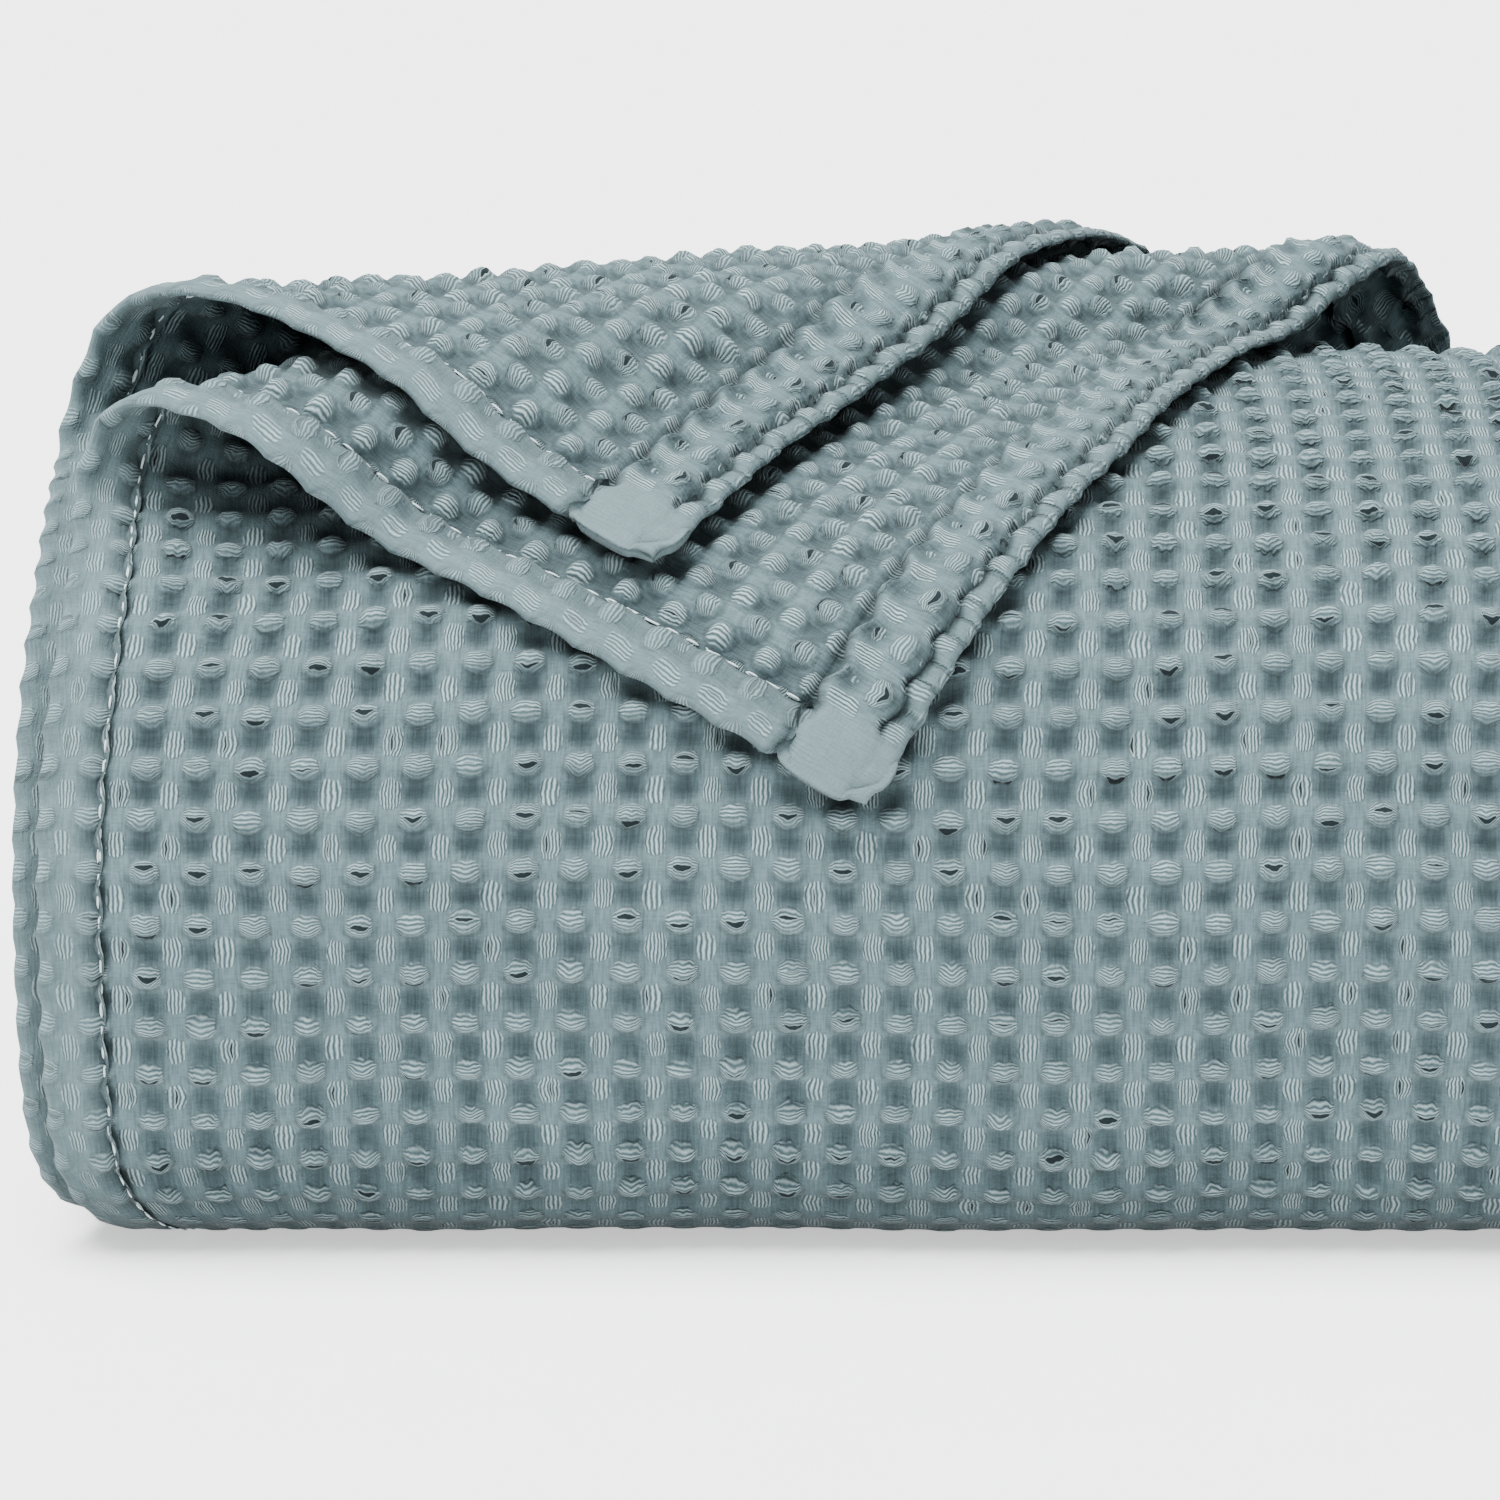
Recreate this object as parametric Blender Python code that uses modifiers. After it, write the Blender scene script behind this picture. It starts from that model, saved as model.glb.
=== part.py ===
"""Waffle weave cotton blanket, folded in four across, rolled up loosely and laid on its side.

The roll lies along X on a flat underside. Its front faces -Y. The cloth is four layers thick,
and the two outer layers of the last turn are free sheets: each has its left corner turned back
over the top, so that a soft loop stands along each fold. All sizes are in metres.
"""
import math

import bpy
import numpy as np

# Cloth
LAYER = 0.0026           # one layer of the waffle cloth, with its relief
LAYER_GAP = 0.0008       # air between two layers
LAYER_PITCH = LAYER + LAYER_GAP
LAYERS_IN_PACK = 4
PACK = LAYERS_IN_PACK * LAYER_PITCH - LAYER_GAP
INNER_PAIR = 2 * LAYER_PITCH - LAYER_GAP

# Roll
TURN_GAP = 0.0020        # air between two turns of the pack
TURN_PITCH = PACK + TURN_GAP
FULL_TURNS = 4           # whole turns under the last, part turn
LEFT_END = -0.2100
RIGHT_END = 0.2120
END_STAGGER = 0.0022     # how far the turns slide along the roll, each way
LEFT_WAVE = 9.0          # how fast that changes from turn to turn, in radians a turn
RIGHT_WAVE = 7.0
DEPTH_MIDDLE = 0.1144    # from the front of the section to the origin
CORE_HALF_WIDTH = 0.030  # half the flat stretch that every turn passes above and below
SEAM = 0.0015            # half the step on the underside where the free layers begin

# Section of the roll's outer surface, from the underside round the front, top and back
SECTION = [
    # (depth from the front, height)
    (0.110, 0.000),
    (0.075, 0.000),
    (0.040, 0.000),
    (0.020, 0.009),
    (0.006, 0.031),
    (0.000, 0.064),
    (0.005, 0.090),
    (0.022, 0.121),
    (0.052, 0.1395),
    (0.090, 0.150),
    (0.125, 0.153),
    (0.160, 0.150),
    (0.192, 0.138),
    (0.214, 0.114),
    (0.221, 0.080),
    (0.218, 0.040),
    (0.204, 0.012),
    (0.180, 0.000),
    (0.145, 0.000),
]
SECTION_STEPS = 24       # smooth steps between two rows of the table
CORE_DEPTH = 0.1105
CORE_HEIGHT = 0.0765

# The turns slide outwards by one pitch along this stretch of the section, low on the back
RAMP_START = 0.405
RAMP_END = 0.600

# Corners of the free layers, each turned back along a slanting fold
CORNERS = {
    # start_x, start_arc: where the fold meets the left hem; side_leg: left hem beyond the fold;
    # slant: angle of the fold to the roll; loop: height, lift-off and landing,
    # each from the left hem to the end hem
    "outer_layer": dict(
        start_x=-0.2045, start_arc=0.2540, side_leg=0.183, slant=30.5,
        loop_height=(0.024, 0.022, 0.018, 0.023, 0.029), lift_off=(0.014, 0.028),
        landing=(0.062, 0.050),
        mid_lift=-0.5 * LAYER, flap_lift=-0.5 * LAYER + LAYER_PITCH),
    "second_layer": dict(
        start_x=-0.2110, start_arc=0.2880, side_leg=0.149, slant=29.0,
        loop_height=(0.036, 0.027, 0.022, 0.028, 0.026), lift_off=(0.012, 0.028),
        landing=(0.113, 0.100),
        mid_lift=-0.5 * LAYER - LAYER_PITCH, flap_lift=-0.5 * LAYER + 2 * LAYER_PITCH),
}
HEMS = {
    # left hem low on the front, left hem on top, right edge
    "outer_layer": (-0.2080, -0.2045, 0.2130),
    "second_layer": (-0.2130, -0.2110, 0.2115),
}
LEAN_START = 0.170       # the left hems lean inwards between these places on the section
LEAN_END = 0.235
FREE_START = 0.003       # the free layers begin just past the step on the underside
CREST = 0.35             # the loop's crest, as a share of the way to its landing
TENT = 0.030             # how far past a loop the corner above it is still held up
REACH = 0.0015           # half the step over which slopes are read
TURN_REACH = 0.002       # the same, in turns of the roll

# Mesh
TURN_STATIONS = 36
ROLL_COLUMNS = 4
SHEET_COLUMNS = 24
SHEET_ROWS = {
    # rows up the front, from there to the fold's loop, along it, and beyond it
    "outer_layer": (17, 18, 12, 6),
    "second_layer": (17, 18, 17, 1),
}
FRONT_ARC = 0.205        # the rows of both free layers lie side by side up to here
BEYOND_START = 0.030     # least cloth between the loop's start and the end hem
BEYOND_LOOP = 0.010      # the same past the loop's landing
LOOP_STEPS = 16

CLOTH_COLOUR = (0.235, 0.330, 0.340, 1.0)


def smooth(value, low, high):
    """Zero below low, one above high, with a soft change between them."""
    share = min(max((value - low) / (high - low), 0.0), 1.0)
    return share * share * (3.0 - 2.0 * share)


def between(ends, share):
    """The value that lies a share of the way along a row of evenly spaced values."""
    return float(np.interp(share, np.linspace(0.0, 1.0, len(ends)), ends))


def section_curve():
    """A smooth closed curve through the table's rows, and its arc length at each point."""
    rows = np.array(SECTION)
    share = np.linspace(0.0, 1.0, SECTION_STEPS, endpoint=False)[:, None]
    stretches = []
    for index in range(len(rows)):
        before, start, end, after = (rows[(index + step) % len(rows)] for step in (-1, 0, 1, 2))
        stretches.append(0.5 * (
            2.0 * start + (end - before) * share
            + (2.0 * before - 5.0 * start + 4.0 * end - after) * share ** 2
            + (3.0 * start - before - 3.0 * end + after) * share ** 3))
    curve = np.concatenate(stretches + [rows[:1]])
    curve[:, 1] = np.maximum(curve[:, 1], 0.0)
    steps = np.hypot(*np.diff(curve, axis=0).T)
    return curve, np.concatenate([[0.0], np.cumsum(steps)])


CURVE, ARC = section_curve()
PERIMETER = float(ARC[-1])


def on_section(arc):
    """Depth and height of the outer surface at an arc length from the underside's middle."""
    arc = arc % PERIMETER
    return np.array([np.interp(arc, ARC, CURVE[:, 0]), np.interp(arc, ARC, CURVE[:, 1])])


def lifted(arc, lift):
    """A point at a height above the outer surface, square to it."""
    along = on_section(arc + REACH) - on_section(arc - REACH)
    along /= np.linalg.norm(along)
    return on_section(arc) + lift * np.array([-along[1], along[0]])


def on_turn(winding, depth=0.0):
    """A point at a depth in the turn of the pack at a winding, in turns from the seam."""
    arc = (winding % 1.0) * PERIMETER
    outer = on_section(arc)
    core_depth = min(max(outer[0], CORE_DEPTH - CORE_HALF_WIDTH), CORE_DEPTH + CORE_HALF_WIDTH)
    core = np.array([core_depth, CORE_HEIGHT])
    turns_in = -math.floor(winding) - smooth(arc, RAMP_START, RAMP_END)
    scale = 1.0 - (turns_in * TURN_PITCH + depth) / CORE_HEIGHT
    return core + scale * (outer - core)


def pack_at(winding):
    """The pack's inner side at a winding, and how thick it is there."""
    if winding >= 0.0:
        return lifted(winding * PERIMETER, -PACK), INNER_PAIR
    inner = on_turn(winding, PACK)
    along = on_turn(winding + TURN_REACH, PACK) - on_turn(winding - TURN_REACH, PACK)
    outward = np.array([-along[1], along[0]]) / np.linalg.norm(along)
    return inner, float((on_turn(winding) - inner) @ outward)


def loop_profile(fold, share):
    """The cross-section of a fold's loop, as (distance past the fold line, height) points."""
    height = between(fold["loop_height"], share)
    lift_off = between(fold["lift_off"], share)
    landing = between(fold["landing"], share)
    rest = fold["flap_lift"] - fold["mid_lift"]
    crest = CREST * landing
    arms = [
        ((-lift_off, 0.0), (-0.45 * lift_off, 0.0), (0.0, 0.1 * height), (0.0, 0.5 * height)),
        ((0.0, 0.5 * height), (0.0, 0.85 * height), (-0.5 * crest, height), (-crest, height)),
        ((-crest, height), (-crest - 0.3 * landing, height), (-0.65 * landing, rest),
         (-landing, rest)),
    ]
    share_along = np.linspace(0.0, 1.0, LOOP_STEPS)[:, None]
    points = []
    for start, pull_start, pull_end, end in np.array(arms):
        points.append(
            (1.0 - share_along) ** 3 * start + 3.0 * (1.0 - share_along) ** 2 * share_along * pull_start
            + 3.0 * (1.0 - share_along) * share_along ** 2 * pull_end + share_along ** 3 * end)
    profile = np.concatenate([points[0], points[1][1:], points[2][1:]])
    lengths = np.hypot(*np.diff(profile, axis=0).T)
    return profile, np.concatenate([[0.0], np.cumsum(lengths)]) - lift_off


def fold_directions(fold):
    """Unit vectors along the fold and past it, towards the corner, in (x, arc)."""
    slant = math.radians(fold["slant"])
    return (np.array([math.cos(slant), math.sin(slant)]),
            np.array([-math.sin(slant), math.cos(slant)]))


def fold_share(fold, along):
    """How far along its fold a place lies, from 0 at the left hem to 1 at the end hem."""
    length = fold["side_leg"] / math.sin(math.radians(fold["slant"]))
    return min(max(along / length, 0.0), 1.0)


def lift_upon(fold, x, arc):
    """Height above the roll at which a further layer lies on a turned-back corner."""
    line, past = fold_directions(fold)
    place = np.array([x - fold["start_x"], arc - fold["start_arc"]])
    distance = float(place @ past)
    profile, _ = loop_profile(fold, fold_share(fold, float(place @ line)))
    slope_side = profile[2 * LOOP_STEPS - 2:][::-1]
    heights = np.interp((distance - REACH, distance, distance + REACH), *slope_side.T)
    slope = (heights[2] - heights[0]) / (2.0 * REACH)
    held_up = heights[1] * (1.0 - smooth(distance, 0.0, TENT))
    return fold["mid_lift"] + float(held_up) + LAYER_PITCH * math.hypot(1.0, slope)


def turn_back(fold, x, arc, under=None):
    """Fold the cloth point (x, arc): gives x, arc and height above the roll where it comes to lie."""
    line, past = fold_directions(fold)
    place = np.array([x - fold["start_x"], arc - fold["start_arc"]])
    along, distance = float(place @ line), float(place @ past)
    profile, lengths = loop_profile(fold, fold_share(fold, along))
    if distance <= lengths[0]:
        reach, height = distance, 0.0
    elif distance >= lengths[-1]:
        reach, height = profile[-1, 0] - (distance - lengths[-1]), profile[-1, 1]
    else:
        reach = float(np.interp(distance, lengths, profile[:, 0]))
        height = float(np.interp(distance, lengths, profile[:, 1]))
    lift = fold["mid_lift"] + height
    lain_x, lain_arc = place - past * distance + past * reach + (fold["start_x"], fold["start_arc"])
    if under is not None and distance > lengths[LOOP_STEPS]:
        floor = lift_upon(under, lain_x, lain_arc)
        spread = math.hypot(lift - floor, LAYER)
        lift = 0.5 * (lift + floor + spread)
    return lain_x, lain_arc, lift


def hem_x(name, share, arc):
    """Place across a free layer, with the left hem's lean."""
    low, high, right = HEMS[name]
    left = low + (high - low) * smooth(arc, LEAN_START, LEAN_END)
    return left + (right - left) * share


def row_arc(name, x, row):
    """Arc length of a row of a free layer: rows are closest along the loop."""
    fold = CORNERS[name]
    end = fold["start_arc"] + fold["side_leg"]
    slant = math.radians(fold["slant"])
    fold_arc = fold["start_arc"] + (x - fold["start_x"]) * math.tan(slant)
    share = fold_share(fold, (x - fold["start_x"]) / math.cos(slant))
    _, lengths = loop_profile(fold, share)
    loop_end = min(fold_arc + lengths[-1] / math.cos(slant), end - BEYOND_LOOP)
    loop_start = min(fold_arc + lengths[0] / math.cos(slant), end - BEYOND_START)
    ends = [FREE_START, FRONT_ARC, loop_start, loop_end, end]
    return float(np.interp(row, np.cumsum((0,) + SHEET_ROWS[name]), ends))


def cotton():
    """Matte dusty teal cotton."""
    material = bpy.data.materials.new("teal_cotton")
    material.use_nodes = True
    shader = material.node_tree.nodes["Principled BSDF"]
    shader.inputs["Base Color"].default_value = CLOTH_COLOUR
    shader.inputs["Roughness"].default_value = 0.92
    shader.inputs["Metallic"].default_value = 0.0
    return material


def grid_object(name, columns, rows, place, collection, material):
    """A grid of columns by rows, each point put where place(share across, row) says."""
    bpy.ops.mesh.primitive_grid_add(x_subdivisions=columns, y_subdivisions=rows, size=1.0)
    piece = bpy.context.object
    piece.name = name
    piece.data.name = name
    for vertex in piece.data.vertices:
        vertex.co = place(vertex.co.x + 0.5, (vertex.co.y + 0.5) * rows)
    piece.data.materials.append(material)
    piece.data.shade_smooth()
    for holder in piece.users_collection:
        holder.objects.unlink(piece)
    collection.objects.link(piece)
    return piece


def free_layer(name, collection, material, under=None):
    """One outer layer: a sheet up the front and over the top, its corner turned back."""
    fold = CORNERS[name]

    def place(across, row):
        flat_x = hem_x(name, across, fold["start_arc"])
        arc = row_arc(name, flat_x, row)
        x, arc, lift = turn_back(fold, hem_x(name, across, arc), arc, under)
        depth, height = lifted(arc, lift)
        return x, depth - DEPTH_MIDDLE, height

    piece = grid_object(name, SHEET_COLUMNS, sum(SHEET_ROWS[name]), place, collection, material)
    shell = piece.modifiers.new("cloth_thickness", "SOLIDIFY")
    shell.thickness = LAYER
    shell.offset = 0.0
    return piece


def winding_stations():
    """Windings of the roll's stations, with a close pair at the step on the underside."""
    last = CORNERS["outer_layer"]["start_arc"] + CORNERS["outer_layer"]["side_leg"]
    whole = [step / TURN_STATIONS for step in range(-FULL_TURNS * TURN_STATIONS, 0)]
    part = [step / TURN_STATIONS for step in range(1, TURN_STATIONS)
            if step / TURN_STATIONS * PERIMETER < last - LAYER]
    seam = SEAM / PERIMETER
    return whole + [-seam, seam] + part + [last / PERIMETER]


def wound_roll(collection, material):
    """The pack wound up from its inner end, thinned to its inner pair past the underside's step."""
    stations = winding_stations()
    inner_sides, thicknesses = zip(*(pack_at(winding) for winding in stations))

    def place(across, row):
        station = int(round(row))
        winding = stations[station]
        left = LEFT_END + END_STAGGER * math.sin(LEFT_WAVE * winding)
        right = RIGHT_END - END_STAGGER * (0.5 + 0.5 * math.sin(RIGHT_WAVE * winding))
        depth, height = inner_sides[station]
        return left + (right - left) * across, depth - DEPTH_MIDDLE, height

    piece = grid_object("wound_roll", ROLL_COLUMNS, len(stations) - 1, place, collection, material)
    thick = piece.vertex_groups.new(name="pack_thickness")
    for vertex in piece.data.vertices:
        station = vertex.index // (ROLL_COLUMNS + 1)
        thick.add([vertex.index], thicknesses[station] / max(thicknesses), "REPLACE")
    shell = piece.modifiers.new("pack_of_layers", "SOLIDIFY")
    shell.thickness = max(thicknesses)
    shell.offset = 1.0
    shell.vertex_group = thick.name
    return piece


def main():
    for leftover in list(bpy.data.objects):
        bpy.data.objects.remove(leftover, do_unlink=True)
    collection = bpy.data.collections.new("waffle_blanket")
    bpy.context.scene.collection.children.link(collection)
    wound_roll(collection, cotton())
    free_layer("outer_layer", collection, cotton())
    free_layer("second_layer", collection, cotton(), under=CORNERS["outer_layer"])


main()
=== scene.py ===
"""Waffle weave cotton blanket, folded in four across, rolled up and laid on its side.

The cloth is built as thin sheets with the weave's relief on them, over the shapes of the frame's
solids: two free outer layers with turned-back corners, the skin of the roll's back, and the turns
of the roll with their hems and folds. All sizes are in metres.
"""
import math
from functools import partial, partialmethod

import bpy
import numpy as np
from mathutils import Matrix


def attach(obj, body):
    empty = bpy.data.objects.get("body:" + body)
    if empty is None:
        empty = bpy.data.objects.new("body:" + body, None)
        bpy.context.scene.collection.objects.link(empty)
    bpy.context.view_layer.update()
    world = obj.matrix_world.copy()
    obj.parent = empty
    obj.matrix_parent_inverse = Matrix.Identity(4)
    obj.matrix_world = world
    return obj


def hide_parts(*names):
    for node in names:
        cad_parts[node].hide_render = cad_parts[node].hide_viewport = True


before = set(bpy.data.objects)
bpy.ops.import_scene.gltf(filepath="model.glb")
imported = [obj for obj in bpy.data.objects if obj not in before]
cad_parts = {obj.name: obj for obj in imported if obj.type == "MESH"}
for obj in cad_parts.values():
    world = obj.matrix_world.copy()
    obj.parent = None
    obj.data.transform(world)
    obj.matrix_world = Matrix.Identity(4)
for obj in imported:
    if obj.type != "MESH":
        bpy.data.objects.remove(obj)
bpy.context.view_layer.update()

# Cloth and roll, as in the solids
LAYER = 0.0026
LAYER_GAP = 0.0008
LAYER_PITCH = LAYER + LAYER_GAP
LAYERS_IN_PACK = 4
PACK = LAYERS_IN_PACK * LAYER_PITCH - LAYER_GAP
TURN_GAP = 0.0020
TURN_PITCH = PACK + TURN_GAP
FULL_TURNS = 4
LEFT_END = -0.2100
RIGHT_END = 0.2120
END_STAGGER = 0.0022
LEFT_WAVE = 9.0
RIGHT_WAVE = 7.0
DEPTH_MIDDLE = 0.1144
FLOOR_GAP = 0.0001
CORE_HALF_WIDTH = 0.030
SECTION = [
    # (depth from the front, height)
    (0.110, 0.000),
    (0.075, 0.000),
    (0.040, 0.000),
    (0.020, 0.009),
    (0.006, 0.031),
    (0.000, 0.064),
    (0.005, 0.090),
    (0.022, 0.121),
    (0.052, 0.1395),
    (0.090, 0.150),
    (0.125, 0.153),
    (0.160, 0.150),
    (0.192, 0.138),
    (0.214, 0.114),
    (0.221, 0.080),
    (0.218, 0.040),
    (0.204, 0.012),
    (0.180, 0.000),
    (0.145, 0.000),
]
SECTION_STEPS = 24
CORE_DEPTH = 0.1105
CORE_HEIGHT = 0.0765
RAMP_START = 0.405
RAMP_END = 0.600
CORNERS = {
    # start_x, start_arc: where the fold meets the left hem; side_leg: left hem beyond the fold;
    # slant: angle of the fold to the roll; loop: height, lift-off and landing
    "outer_layer": dict(
        start_x=-0.2045, start_arc=0.2540, side_leg=0.183, slant=30.5,
        loop_height=(0.024, 0.022, 0.018, 0.023, 0.029), lift_off=(0.014, 0.028),
        landing=(0.062, 0.050),
        mid_lift=-0.5 * LAYER, flap_lift=-0.5 * LAYER + LAYER_PITCH),
    "second_layer": dict(
        start_x=-0.2110, start_arc=0.2880, side_leg=0.149, slant=29.0,
        loop_height=(0.036, 0.027, 0.022, 0.028, 0.026), lift_off=(0.012, 0.028),
        landing=(0.113, 0.100),
        mid_lift=-0.5 * LAYER - LAYER_PITCH, flap_lift=-0.5 * LAYER + 2 * LAYER_PITCH),
}
HEMS = {
    # left hem low on the front, left hem on top, right edge
    "outer_layer": (-0.2080, -0.2045, 0.2130),
    "second_layer": (-0.2130, -0.2110, 0.2115),
}
LEAN_START = 0.170
LEAN_END = 0.235
CREST = 0.35
TENT = 0.030
REACH = 0.0015
LOOP_STEPS = 16
LOOP_SHARES = 65         # cross-sections worked out along a loop

# Weave
CELL = 0.01003           # one waffle cell
EDGE_CELL = 0.05         # where the left hem's edge is, in cells from a column of bumps
ROW_PHASE = 0.30         # where the underside's middle is, in cells from a row of bumps
BUMP_WIDE = 0.300        # half the width of a bump, in cells
BUMP_TALL = 0.245
BUMP_HEIGHT = 0.00195
PIT_DEPTH = 0.00110
RIDGE = 0.00055          # how far the rows of bumps stand above the rows between
PATCH = 0.00040          # how far the upright floats stand above the pits
REVERSE_BUMP = 0.00240   # height of the rounder, closer bumps on the reverse
REVERSE_WIDE = 0.285
PILLOW = 0.00042         # half the height of the plain zones above the hollows on the reverse
LINES_IN_CELL = tuple(step / 7.0 for step in range(-3, 4))

# Its own weight
FOOT_FORWARD = 0.0175    # how far the foot of the front settles forward
FOOT_HEIGHT = 0.0145
END_ROUND = 0.018        # rounding of the lower corners at the roll's ends
END_ROUND_HEIGHT = 0.008

# Hems
SIDE_HEM = 0.0112        # width of the turned side hem
END_HEM = 0.0180
HEM_RADIUS = 0.0010      # of the turn at a hem's edge
TURN_SHARES = (0.25, 0.5, 0.75, 1.0)
SCALLOP = 0.0009         # how far the side hem's edge draws in between the cells
EDGE_ROLL = 0.0038       # width of the corded edge of the end hem
EDGE_BEAD = 0.0056       # from one crease across the corded edge to the next
BEAD_WAVES = ((1.7, 0.0, 0.26), (4.3, 1.0, 0.16))
# marks for the material: pressed hem cloth, the corded edge, and the seam grooves where shade is painted
MARKS = ("pressed", "corded", "seam")
SIDE_STEPS = (0.0015, 0.0030, 0.0045, 0.0060, 0.0075, 0.0086, 0.0096, 0.0105, 0.0112)
END_STEPS = (0.0006, 0.0012, 0.0018, 0.0025, 0.0032, 0.0038, 0.0043, 0.0048, 0.0053, 0.0060,
             0.0072, 0.0086, 0.0100, 0.0114, 0.0128, 0.0140, 0.0150, 0.0158, 0.0166, 0.0173, 0.0180)
STITCH = 0.0029
STITCH_STEP = 0.0043
STITCH_SINK = 0.0002     # how deep the stitches' ends lie in the cloth
STITCH_HEIGHT = 0.0004
STITCH_SIZES = (0.3, 0.9, 1.0, 1.0, 0.9, 0.3)    # of the thread, from one end to the other
THREAD = 0.00023
RING = 6                 # corners around the thread

# Stretches of the roll
BACK = 0.345             # share of a turn that shows at the back, up to the end hems
UNDER_BACK = -0.34       # where the turns' last stretch starts
SEAM = 0.0005            # half the gap at the underside's middle, in turns
TURN_STEP = 0.0026       # from row to row along the turns
CLOTH_START = 0.0003     # where the free layers start, from the underside's middle
BARE_START = 0.190       # the layers below are bare from here to their end
BARE_RIGHT = 0.090

# Light
WORLD_LIGHT = 0.80
FLOOR_GLOW = 0.8
KEY_LIGHT = 10.5
KEY_SPREAD = 44.0         # degrees across
KEY_HEIGHT = 72.0
KEY_SIDE = 62.0

SEED = 7
rng = np.random.default_rng(SEED)
TILE = 64                # cells after which the bumps' random sizes repeat
RANDOM = rng.random((TILE, TILE, 4))


def added(name, data):
    """A new object in the scene."""
    piece = bpy.data.objects.new(name, data)
    bpy.context.scene.collection.objects.link(piece)
    return piece


def ease(value, low, high):
    """Zero below low, one above high, with a soft change between them."""
    share = np.clip((value - low) / (high - low), 0.0, 1.0)
    return share * share * (3.0 - 2.0 * share)


def section_curve():
    """A smooth closed curve through the table's rows, and its arc length at each point."""
    rows = np.array(SECTION)
    share = np.linspace(0.0, 1.0, SECTION_STEPS, endpoint=False)[:, None]
    stretches = []
    for index in range(len(rows)):
        before, start, end, after = (rows[(index + step) % len(rows)] for step in (-1, 0, 1, 2))
        stretches.append(0.5 * (
            2.0 * start + (end - before) * share
            + (2.0 * before - 5.0 * start + 4.0 * end - after) * share ** 2
            + (3.0 * start - before - 3.0 * end + after) * share ** 3))
    curve = np.concatenate(stretches + [rows[:1]])
    curve[:, 1] = np.maximum(curve[:, 1], 0.0)
    steps = np.hypot(*np.diff(curve, axis=0).T)
    return curve, np.concatenate([[0.0], np.cumsum(steps)])


CURVE, ARC = section_curve()
PERIMETER = float(ARC[-1])


def on_section(arc):
    """Depths and heights of the outer surface at arc lengths from the underside's middle."""
    arc = arc % PERIMETER
    return np.stack([np.interp(arc, ARC, CURVE[:, 0]), np.interp(arc, ARC, CURVE[:, 1])], -1)


def lifted(arc, lift):
    """Points at heights above the outer surface, square to it."""
    along = on_section(arc + REACH) - on_section(arc - REACH)
    along /= np.linalg.norm(along, axis=-1, keepdims=True)
    return on_section(arc) + lift[..., None] * np.stack([-along[..., 1], along[..., 0]], -1)


def on_turn(winding, depth):
    """Points at depths in the turns of the pack at windings, in turns from the seam."""
    arc = (winding % 1.0) * PERIMETER
    outer = on_section(arc)
    core_depth = np.clip(outer[..., 0], CORE_DEPTH - CORE_HALF_WIDTH, CORE_DEPTH + CORE_HALF_WIDTH)
    core = np.stack([core_depth, np.full_like(core_depth, CORE_HEIGHT)], -1)
    turns_in = -np.floor(winding) - ease(arc, RAMP_START, RAMP_END)
    scale = 1.0 - (turns_in * TURN_PITCH + depth) / CORE_HEIGHT
    return core + scale[..., None] * (outer - core)


def loop_profile(fold, share):
    """The cross-section of a fold's loop, as (distance past the fold line, height) points."""
    spread = np.linspace(0.0, 1.0, len(fold["loop_height"]))
    height = float(np.interp(share, spread, fold["loop_height"]))
    lift_off = float(np.interp(share, (0.0, 1.0), fold["lift_off"]))
    landing = float(np.interp(share, (0.0, 1.0), fold["landing"]))
    rest = fold["flap_lift"] - fold["mid_lift"]
    crest = CREST * landing
    arms = [
        ((-lift_off, 0.0), (-0.45 * lift_off, 0.0), (0.0, 0.1 * height), (0.0, 0.5 * height)),
        ((0.0, 0.5 * height), (0.0, 0.85 * height), (-0.5 * crest, height), (-crest, height)),
        ((-crest, height), (-crest - 0.3 * landing, height), (-0.65 * landing, rest),
         (-landing, rest)),
    ]
    step = np.linspace(0.0, 1.0, LOOP_STEPS)[:, None]
    points = []
    for start, pull_start, pull_end, end in np.array(arms):
        points.append(
            (1.0 - step) ** 3 * start + 3.0 * (1.0 - step) ** 2 * step * pull_start
            + 3.0 * (1.0 - step) * step ** 2 * pull_end + step ** 3 * end)
    profile = np.concatenate([points[0], points[1][1:], points[2][1:]])
    lengths = np.hypot(*np.diff(profile, axis=0).T)
    return profile, np.concatenate([[0.0], np.cumsum(lengths)]) - lift_off


def measure_folds():
    """Directions, length and a table of cross-sections of each fold."""
    for fold in CORNERS.values():
        slant = math.radians(fold["slant"])
        fold["line"] = (math.cos(slant), math.sin(slant))
        fold["past"] = (-math.sin(slant), math.cos(slant))
        fold["length"] = fold["side_leg"] / math.sin(slant)
        fold["end"] = fold["start_arc"] + fold["side_leg"]
        shares = np.linspace(0.0, 1.0, LOOP_SHARES)
        profiles, lengths = zip(*(loop_profile(fold, share) for share in shares))
        fold["profiles"], fold["lengths"] = np.array(profiles), np.array(lengths)


measure_folds()


def rows_at(table, share):
    """Rows of a table at shares of its length."""
    place = np.clip(share, 0.0, 1.0) * (len(table) - 1)
    low = np.minimum(place.astype(int), len(table) - 2)
    rest = (place - low).reshape((-1,) + (1,) * (table.ndim - 1))
    return table[low] * (1.0 - rest) + table[low + 1] * rest


def look_up(value, knots, values):
    """For each row, the value at a place between its own rising knots."""
    step = np.clip((knots < value[:, None]).sum(axis=1), 1, knots.shape[1] - 1)
    row = np.arange(len(value))
    low, high = knots[row, step - 1], knots[row, step]
    rest = np.clip((value - low) / np.maximum(high - low, 1e-9), 0.0, 1.0)
    return values[row, step - 1] * (1.0 - rest) + values[row, step] * rest


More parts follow.
